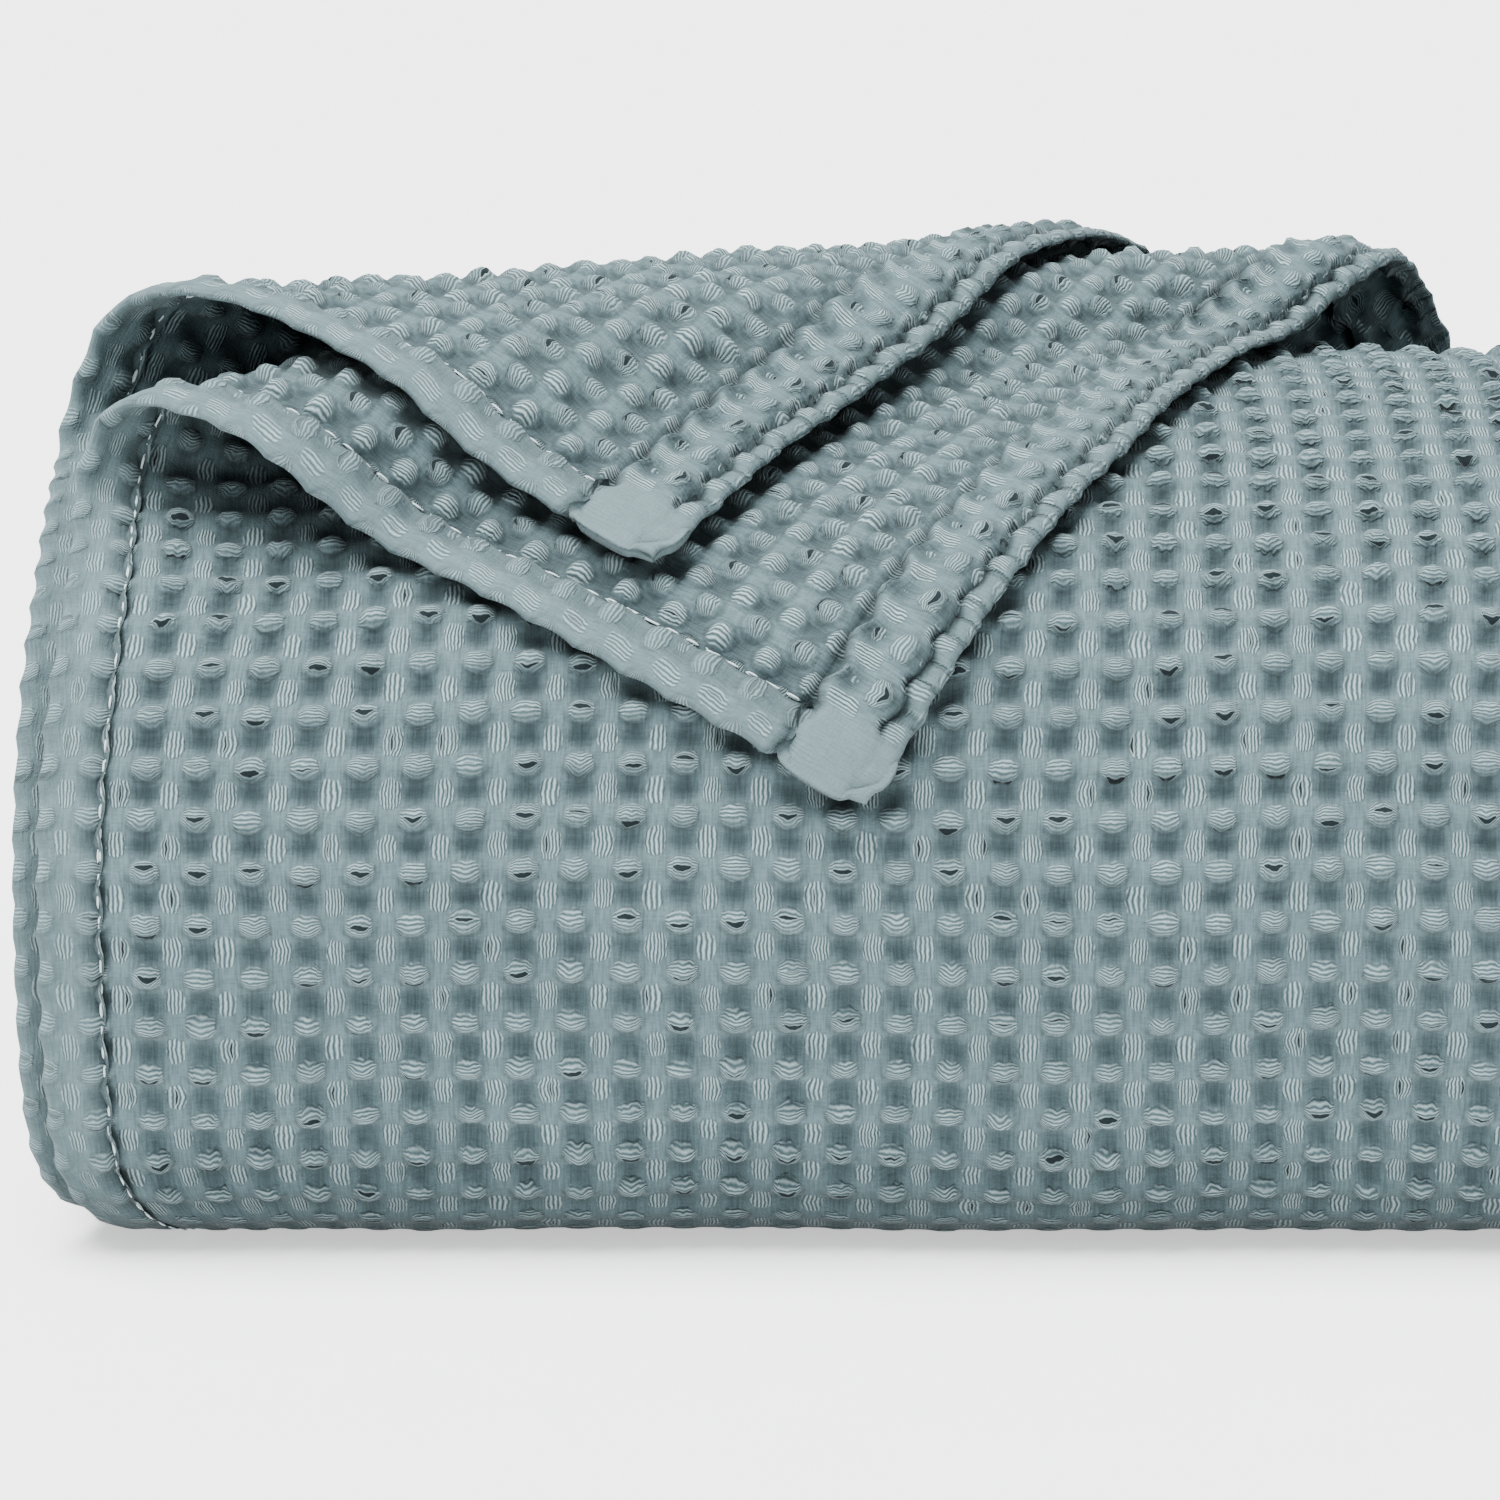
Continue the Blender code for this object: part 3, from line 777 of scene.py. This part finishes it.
class Nodes:
    """Short ways to add shader nodes to a material."""

    def __init__(self, name):
        self.material = bpy.data.materials.new(name)
        self.material.use_nodes = True
        self.tree = self.material.node_tree
        self.shader = self.tree.nodes["Principled BSDF"]

    def put(self, socket, value):
        if hasattr(value, "is_linked"):
            self.tree.links.new(value, socket)
        else:
            socket.default_value = value

    def new(self, kind):
        return self.tree.nodes.new("ShaderNode" + kind)

    def look(self, name, value):
        self.put(self.shader.inputs[name], value)

    def math(self, operation, *values):
        node = self.new("Math")
        node.operation = operation
        for socket, value in zip(node.inputs, values):
            self.put(socket, value)
        return node.outputs[0]

    plus = partialmethod(math, "ADD")
    minus = partialmethod(math, "SUBTRACT")
    rest = partialmethod(math, "SUBTRACT", 1.0)
    times = partialmethod(math, "MULTIPLY")
    scaled = partialmethod(math, "MULTIPLY_ADD")
    over = partialmethod(math, "DIVIDE")
    power = partialmethod(math, "POWER")
    root = partialmethod(math, "SQRT")
    nearest = partialmethod(math, "ROUND")
    absolute = partialmethod(math, "ABSOLUTE")
    larger = partialmethod(math, "MAXIMUM")
    smaller = partialmethod(math, "MINIMUM")

    def distance(self, one, two, wide, tall, power=2.0):
        """How far a place lies from a patch's middle, in half widths and half heights."""
        one, two = self.power(self.over(one, wide), power), self.power(self.over(two, tall), power)
        return self.root(self.plus(one, two))

    def patch(self, far, inner, outer):
        """One well inside a distance, zero outside it."""
        return self.rest(self.ramp(far, inner, outer))

    def ramp(self, value, low, high):
        node = self.new("MapRange")
        node.interpolation_type = "SMOOTHSTEP"
        for socket, given in zip(node.inputs, (value, low, high, 0.0, 1.0)):
            self.put(socket, given)
        return node.outputs[0]

    def mix(self, share, one, two):
        node = self.new("Mix")
        node.data_type = "RGBA"
        self.put(node.inputs[0], share)
        self.put(node.inputs[6], one)
        self.put(node.inputs[7], two)
        return node.outputs[2]

    def noise(self, vector, scale, detail=1.0):
        node = self.new("TexNoise")
        self.put(node.inputs["Vector"], vector)
        node.inputs["Scale"].default_value = scale
        node.inputs["Detail"].default_value = detail
        return node.outputs["Fac"]

    def combine(self, x, y, z=0.0):
        node = self.new("CombineXYZ")
        for socket, value in zip(node.inputs, (x, y, z)):
            self.put(socket, value)
        return node.outputs[0]

    def deep(self, distance):
        """Painted shade, from ambient occlusion, in what lies deep between other cloth."""
        node = self.new("AmbientOcclusion")
        node.samples = 1
        node.inputs["Distance"].default_value = distance
        return self.scaled(self.ramp(node.outputs["AO"], 0.08, 0.80), 0.93, 0.09)

    def attribute(self, name):
        node = self.new("Attribute")
        node.attribute_name = name
        return node.outputs["Fac"]

    def random(self, x, y, z):
        node = self.new("TexWhiteNoise")
        node.noise_dimensions = "3D"
        self.put(node.inputs["Vector"], self.combine(x, y, z))
        return node.outputs["Value"]


# The cloth's colours, with painted light: a highlight for the threads' crests, shade for the gaps between
# threads and for creases, and deep shade for slits and seam grooves
PAINTED_THREAD_HIGHLIGHT = (0.330, 0.440, 0.460, 1.0)
CLOTH = (0.103, 0.158, 0.171, 1.0)
PRESSED = (0.122, 0.172, 0.181, 1.0)
PAINTED_GAP_SHADE = (0.034, 0.062, 0.068, 1.0)
PAINTED_DEEP_SHADE = (0.004, 0.010, 0.012, 1.0)
CLOTH_SHADE = tuple(0.66 * share for share in CLOTH[:3]) + (1.0,)
FACE_FLOATS = (0.290, 0.245, 0.205, 0.290)      # half width and height, lying and upright, in cells
REVERSE_FLOATS = (0.255, 0.235, 0.235, 0.255)
FLOAT_PITCH = 0.065      # from thread to thread, in cells
UPRIGHT_PITCH = 0.068
THREAD_HEIGHT = 0.00026
PAINTED_SHADE_REACH = 0.030          # how near other cloth lies when shade is painted on it


def floats(nodes, u, v, shift_u, shift_v, upright, wide, tall, pitch, seed):
    """Long threads that lie loose over a patch of each cell: mask, thread height, slit and strength."""
    u, v = nodes.plus(u, shift_u), nodes.plus(v, shift_v)
    column, row = nodes.nearest(u), nodes.nearest(v)
    first, second, third, fourth, fifth = (nodes.random(column, row, seed + step) for step in range(5))
    du = nodes.minus(u, nodes.scaled(nodes.minus(fourth, 0.5), 0.09, column))
    dv = nodes.minus(v, nodes.scaled(nodes.minus(second, 0.5), 0.07, row))
    size = nodes.scaled(fifth, 0.28, 0.84)
    uneven = nodes.noise(nodes.combine(u, v, seed), 9.0, 0.0)
    far = nodes.distance(nodes.absolute(du), nodes.absolute(dv), wide, tall, 2.6)
    far = nodes.over(far, size)
    mask = nodes.patch(nodes.scaled(nodes.minus(uneven, 0.5), 0.5, far), 0.80, 1.06)

    # the threads spread in the patch's middle, bow to one side and wave a little
    lengthwise, crosswise = (nodes.over(dv, tall), du) if upright else (nodes.over(du, wide), dv)
    square = nodes.times(lengthwise, lengthwise)
    bulge = nodes.root(nodes.larger(nodes.scaled(square, -0.4 if upright else -1.0, 1.30), 0.15))
    bend = nodes.times(nodes.minus(first, 0.5 if upright else 0.08), 0.10 if upright else 0.25)
    bow = nodes.times(bend, nodes.rest(nodes.root(nodes.plus(square, 0.03))))
    wave = nodes.minus(nodes.noise(nodes.combine(u, v, seed), 5.5), 0.5)
    wave = nodes.times(wave, 0.060 if upright else 0.085)
    thread = nodes.plus(nodes.over(nodes.plus(crosswise, bow), bulge), wave)

    # in some patches they part and leave a slit, painted in deep shade
    offset = nodes.times(nodes.minus(second, 0.5), 0.9 * (wide if upright else tall))
    from_middle = nodes.absolute(nodes.minus(thread, offset))
    parted = nodes.ramp(third, *((0.72, 0.95) if upright else (0.38, 0.80)))
    lens = nodes.root(nodes.larger(nodes.scaled(square, -2.6, 1.0), 0.0))
    gap = nodes.times(nodes.times(lens, parted), 0.022 if upright else 0.046)
    slit = nodes.times(nodes.math("GREATER_THAN", gap, 0.004),
                       nodes.patch(nodes.minus(from_middle, gap), -0.012, 0.006))
    beside = nodes.larger(nodes.minus(from_middle, gap), 0.0)
    phase = nodes.times(nodes.times(beside, 2.0 * math.pi / pitch), nodes.scaled(fourth, 0.5, 0.75))
    ridge = nodes.scaled(nodes.math("COSINE", phase), 0.5, 0.5)
    strength = nodes.noise(nodes.combine(u, v, seed + 7.0), 3.0)
    strength = nodes.scaled(strength, 0.9, 0.50 if upright else 0.25)
    if not upright:
        strength = nodes.times(strength, nodes.scaled(nodes.ramp(dv, -0.20, 0.0), 0.70, 0.30))
    return mask, ridge, nodes.times(slit, mask), strength


def painted_hollow_shade(nodes, u, v, reverse):
    """How much less light reaches the pits between the bumps and each bump's foot."""
    du, dv = (nodes.absolute(nodes.minus(value, nodes.nearest(value))) for value in (u, v))
    across, along = nodes.minus(0.5, du), nodes.minus(0.5, dv)
    if reverse:
        far = nodes.smaller(nodes.distance(du, along, REVERSE_WIDE, REVERSE_WIDE),
                            nodes.distance(across, dv, REVERSE_WIDE, REVERSE_WIDE))
        deep = nodes.patch(nodes.distance(across, along, 1.0, 1.0), 0.06, 0.42)
        foot = nodes.times(nodes.ramp(far, 0.75, 1.0), nodes.patch(far, 1.0, 1.35))
        return nodes.scaled(deep, 0.46, nodes.times(foot, 0.26))
    # on the face, the painted shade in each pit lies a little higher, under the bump above, as under light
    # from above
    higher = nodes.minus(v, 0.07)
    higher = nodes.absolute(nodes.minus(higher, nodes.nearest(higher)))
    pit = nodes.patch(nodes.distance(du, nodes.minus(0.5, higher), 1.0, 1.0), 0.06, 0.36)
    foot = nodes.distance(du, dv, BUMP_WIDE, BUMP_TALL)
    foot = nodes.times(nodes.ramp(foot, 0.80, 1.02), nodes.patch(foot, 1.02, 1.45))
    # and the painted shadow at a bump's foot is stronger below it
    below = nodes.ramp(nodes.minus(nodes.nearest(v), v), -0.05, 0.15)
    foot = nodes.times(foot, nodes.scaled(below, 0.70, 0.45))
    return nodes.scaled(pit, 0.34, nodes.times(foot, 0.28))


def bead_creases(nodes, u, unevenness):
    """Creases across the corded edge, at the same places as in its shape."""
    place = nodes.scaled(unevenness, 0.20, nodes.times(u, CELL / EDGE_BEAD))
    for waves, start, share in BEAD_WAVES:
        place = nodes.scaled(nodes.math("SINE", nodes.scaled(u, waves, start)), share, place)
    return nodes.patch(nodes.absolute(nodes.minus(nodes.math("FRACT", place), 0.5)), 0.03, 0.13)


def cotton(name, reverse):
    """Waffle weave cotton: loose floats on the bumps, plain weave between them, fuzz and slow changes of
    tone, with painted highlights and painted shade.
    """
    nodes = Nodes(name)
    coordinates = nodes.new("UVMap")
    coordinates.uv_map = "cloth"
    split = nodes.new("SeparateXYZ")
    nodes.put(split.inputs[0], coordinates.outputs[0])
    u, v = split.outputs[0], split.outputs[1]
    pressed, corded, seam = (nodes.attribute(kind) for kind in MARKS)
    fade = nodes.patch(pressed, 0.0, 0.9)

    down = 0.5 if reverse else 0.0
    wide, tall, up_wide, up_tall = REVERSE_FLOATS if reverse else FACE_FLOATS
    mask, ridge, slit, strong = floats(nodes, u, v, 0.0, down, False, wide, tall, FLOAT_PITCH, 1.0)
    mask_up, ridge_up, slit_up, strong_up = floats(
        nodes, u, v, 0.5, 0.5 + down, True, up_wide, up_tall, UPRIGHT_PITCH, 11.0)
    mask, mask_up = nodes.times(mask, fade), nodes.times(mask_up, fade)
    slits = nodes.times(nodes.larger(slit, slit_up), fade)

    hair = nodes.noise(nodes.combine(nodes.times(u, 5.5), nodes.times(v, 0.5)), 4.0)
    hair_across = nodes.noise(nodes.combine(nodes.times(u, 1.2), nodes.times(v, 9.0)), 3.0)
    plain = nodes.scaled(hair, 0.7, nodes.times(hair_across, 0.3))
    fuzz = nodes.noise(nodes.combine(u, v), 18.0, 2.0)
    cloud = nodes.noise(nodes.combine(u, v), 0.35)
    crease = nodes.times(bead_creases(nodes, u, hair_across), corded)

    colour = nodes.mix(nodes.ramp(plain, 0.32, 0.66), CLOTH_SHADE, CLOTH)
    colour = nodes.mix(nodes.times(pressed, 0.8), colour, PRESSED)
    # painted highlights on the threads' crests and painted shade in the gaps between them
    for where, height, strong_here in (
            (nodes.times(mask, 0.95), ridge, strong), (mask_up, ridge_up, strong_up)):
        on_floats = nodes.mix(nodes.power(height, 1.2), PAINTED_GAP_SHADE, PAINTED_THREAD_HIGHLIGHT)
        colour = nodes.mix(nodes.times(where, strong_here), colour, on_floats)
    # painted shade: near black in the slits and seam grooves, darker in the creases across the corded edge
    colour = nodes.mix(slits, colour, PAINTED_DEEP_SHADE)
    colour = nodes.mix(nodes.times(crease, 0.55), colour, PAINTED_GAP_SHADE)
    colour = nodes.mix(nodes.times(seam, 0.80), colour, PAINTED_DEEP_SHADE)
    # tone from fuzz and slow changes, darkened by painted shade in the pits, at the bumps' feet and where
    # other cloth lies near
    tone_and_painted_shade = nodes.scaled(fuzz, 0.24, nodes.scaled(cloud, 0.20, 0.78))
    tone_and_painted_shade = nodes.times(tone_and_painted_shade, nodes.rest(nodes.times(painted_hollow_shade(nodes, u, v, reverse), fade)))
    tone_and_painted_shade = nodes.times(tone_and_painted_shade, nodes.deep(PAINTED_SHADE_REACH))
    scaled = nodes.new("VectorMath")
    scaled.operation = "SCALE"
    nodes.put(scaled.inputs[0], colour)
    nodes.put(scaled.inputs["Scale"], tone_and_painted_shade)
    nodes.look("Base Color", scaled.outputs[0])

    height = nodes.times(nodes.times(mask, ridge), THREAD_HEIGHT)
    height = nodes.scaled(nodes.times(mask_up, ridge_up), THREAD_HEIGHT, height)
    height = nodes.scaled(mask, 0.00022, height)
    height = nodes.scaled(mask_up, 0.00006, height)
    height = nodes.scaled(slits, -0.00060, height)
    height = nodes.scaled(plain, nodes.scaled(pressed, 0.00030, 0.00014), height)
    height = nodes.scaled(fuzz, 0.00018, height)
    height = nodes.scaled(crease, -0.00070, height)
    bump = nodes.new("Bump")
    bump.inputs["Strength"].default_value = 1.0
    bump.inputs["Distance"].default_value = 1.0
    nodes.put(bump.inputs["Height"], height)
    nodes.look("Normal", bump.outputs[0])
    nodes.look("Roughness", nodes.scaled(fuzz, 0.10, 0.86))
    nodes.look("Specular IOR Level", 0.18)
    nodes.look("Sheen Weight", 0.10)
    nodes.look("Sheen Roughness", 0.50)
    nodes.look("Sheen Tint", (0.80, 0.92, 0.95, 1.0))
    return nodes.material


def sewing_thread():
    """Pale grey-green sewing thread with a fine twist."""
    nodes = Nodes("sewing_thread")
    where = nodes.new("NewGeometry").outputs["Position"]
    fibre = nodes.noise(where, 2600.0)
    nodes.look("Base Color", nodes.mix(fibre, (0.42, 0.54, 0.56, 1.0), (0.66, 0.76, 0.78, 1.0)))
    nodes.look("Roughness", nodes.scaled(fibre, 0.2, 0.6))
    nodes.look("Sheen Weight", 0.2)
    return nodes.material


def make_camera():
    """The photograph's view: a long lens, a little above the roll, towards its left end."""
    data = bpy.data.cameras.new("camera")
    data.sensor_width = 36.0
    data.lens = 141.5
    data.clip_end = 20.0
    camera = added("camera", data)
    camera.location = (-0.0743, -1.0673 - DEPTH_MIDDLE, 0.3691)
    camera.rotation_euler = (math.radians(76.0), 0.0, 0.0)
    bpy.context.scene.camera = camera


def make_room():
    """A plain pale floor, a white surround and soft studio light from above."""
    bpy.ops.mesh.primitive_grid_add(
        x_subdivisions=2, y_subdivisions=2, size=14.0, location=(0.0, 0.0, -0.0004))
    floor = bpy.context.object
    floor.name = "floor"
    nodes = Nodes("pale_floor")
    grain = nodes.noise(nodes.new("NewGeometry").outputs["Position"], 40.0)
    nodes.look("Base Color", nodes.mix(grain, (0.90, 0.90, 0.90, 1.0), (0.93, 0.93, 0.93, 1.0)))
    nodes.look("Roughness", 0.9)
    nodes.look("Specular IOR Level", 0.1)
    nodes.look("Emission Color", (1.0, 1.0, 1.0, 1.0))
    nodes.look("Emission Strength", FLOOR_GLOW)
    floor.data.materials.append(nodes.material)
    world = bpy.data.worlds.new("studio")
    world.use_nodes = True
    sky = world.node_tree.nodes["Background"]
    sky.inputs["Color"].default_value = (0.95, 0.98, 1.0, 1.0)
    sky.inputs["Strength"].default_value = WORLD_LIGHT
    bpy.context.scene.world = world
    data = bpy.data.lights.new("key", "SUN")
    data.energy = KEY_LIGHT
    data.angle = math.radians(KEY_SPREAD)
    key = added("key", data)
    key.rotation_euler = (math.radians(90.0 - KEY_HEIGHT), 0.0, math.radians(-KEY_SIDE))


def path_width(free):
    """Width of the pack's cloth, laid flat: all its layers, folds and hems."""
    path = np.array(pack_path(free))
    x = np.where(path[:, 1] > 0.5, RIGHT_END - path[:, 0], LEFT_END + path[:, 0])
    return float(np.hypot(np.diff(x), np.diff(path[:, 2])).sum())


def declare_sheets():
    """Works out flat widths of the panel from the folded width and the turns; nothing uses them."""
    edge = SIDE_HEM + math.pi * HEM_RADIUS
    windings = np.linspace(-FULL_TURNS, 0.0, 800)
    middle = on_turn(windings, np.full_like(windings, 0.5 * PACK))
    wide, narrow = path_width(False), path_width(True)
    wide = edge + RIGHT_END - LEFT_END + (math.pi - 1.0) * right_fold("outer_layer")


def main():
    make_camera()
    make_room()
    face, reverse = cotton("teal_cotton", False), cotton("teal_cotton_reverse", True)
    thread = sewing_thread()
    outer = cloth_object("outer_layer_cloth", free_layer("outer_layer", 4.0, 41.0), face, reverse)
    under = CORNERS["outer_layer"]
    second = cloth_object(
        "second_layer_cloth", free_layer("second_layer", 20.0, 32.0, under), face, reverse)
    roll = cloth_object("roll_turns", [
        pack_grid(-FULL_TURNS, UNDER_BACK, False),
        pack_grid(UNDER_BACK, -SEAM, False),
        pack_grid(SEAM, CORNERS["outer_layer"]["end"] / PERIMETER, True)], face)
    skin = cloth_object("roll_back", back_skin() + bare_top(), face)
    sewn = {name: stitches(name, lower, thread)
            for name, lower in (("outer_layer", None), ("second_layer", under))}
    for piece, node in ((outer, "outer_layer"), (second, "second_layer"), (roll, "wound_roll"),
                        (skin, "wound_roll"), (sewn["outer_layer"], "outer_layer"),
                        (sewn["second_layer"], "second_layer")):
        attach(piece, "root")
        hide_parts(node)
    declare_sheets()


main()
